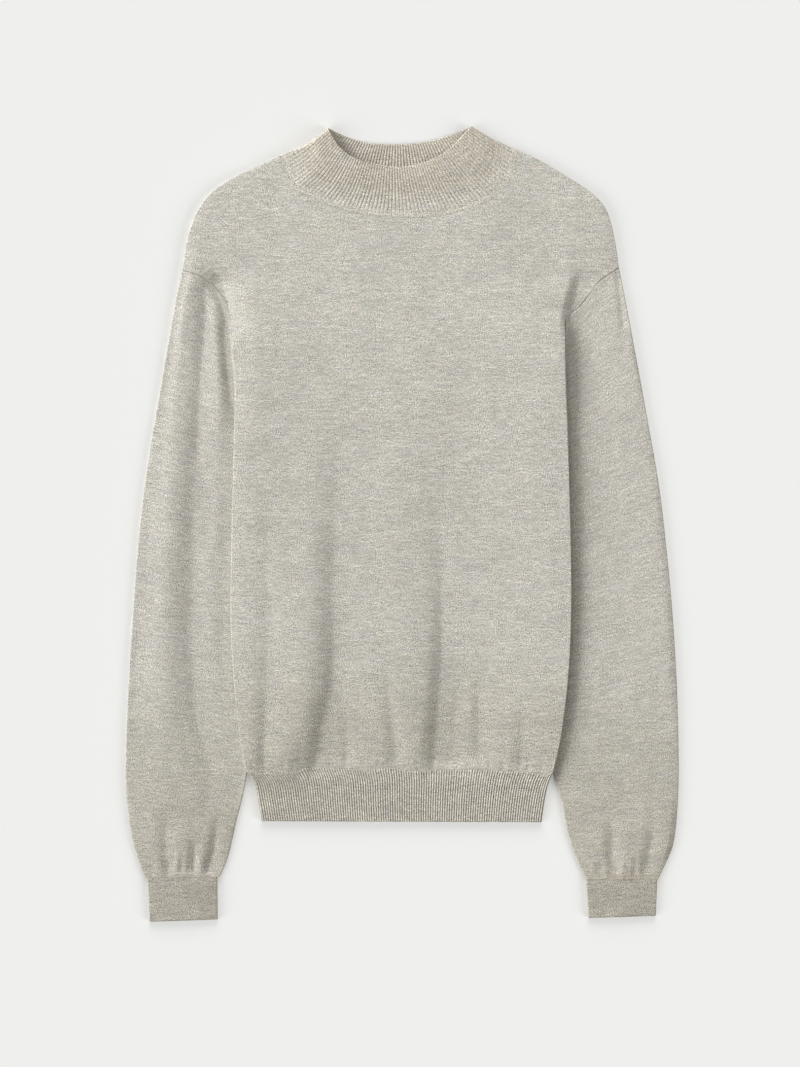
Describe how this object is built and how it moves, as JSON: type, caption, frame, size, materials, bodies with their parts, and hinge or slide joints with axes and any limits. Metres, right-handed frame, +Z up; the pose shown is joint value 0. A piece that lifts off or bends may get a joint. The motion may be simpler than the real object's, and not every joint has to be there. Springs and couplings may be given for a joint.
{
  "type": "mock neck sweater",
  "caption": "Fine-knit mock neck sweater laid flat on its back, with dropped shoulders, full sleeves down its sides and a ribbed collar, hem and cuffs.",
  "frame": {"origin": "middle of the footprint, on the surface that the sweater lies on", "axes": "+Y from the hem up to the collar, +X across to the sleeve on the right as seen from above, +Z up off the surface"},
  "size_m": [0.5108, 0.7358, 0.0127],
  "materials": {
    "jersey": "soft matt fine plain knit, warm grey marl",
    "rib": "soft matt ribbed knit, warm grey marl"
  },
  "bodies": {
    "root": {"front": "jersey", "back": "jersey", "sleeve_left": "jersey", "sleeve_right": "jersey", "collar_front": "rib", "collar_back": "rib", "hem_front": "rib", "hem_back": "rib", "cuff_left": "rib", "cuff_right": "rib"}
  },
  "joints": []
}
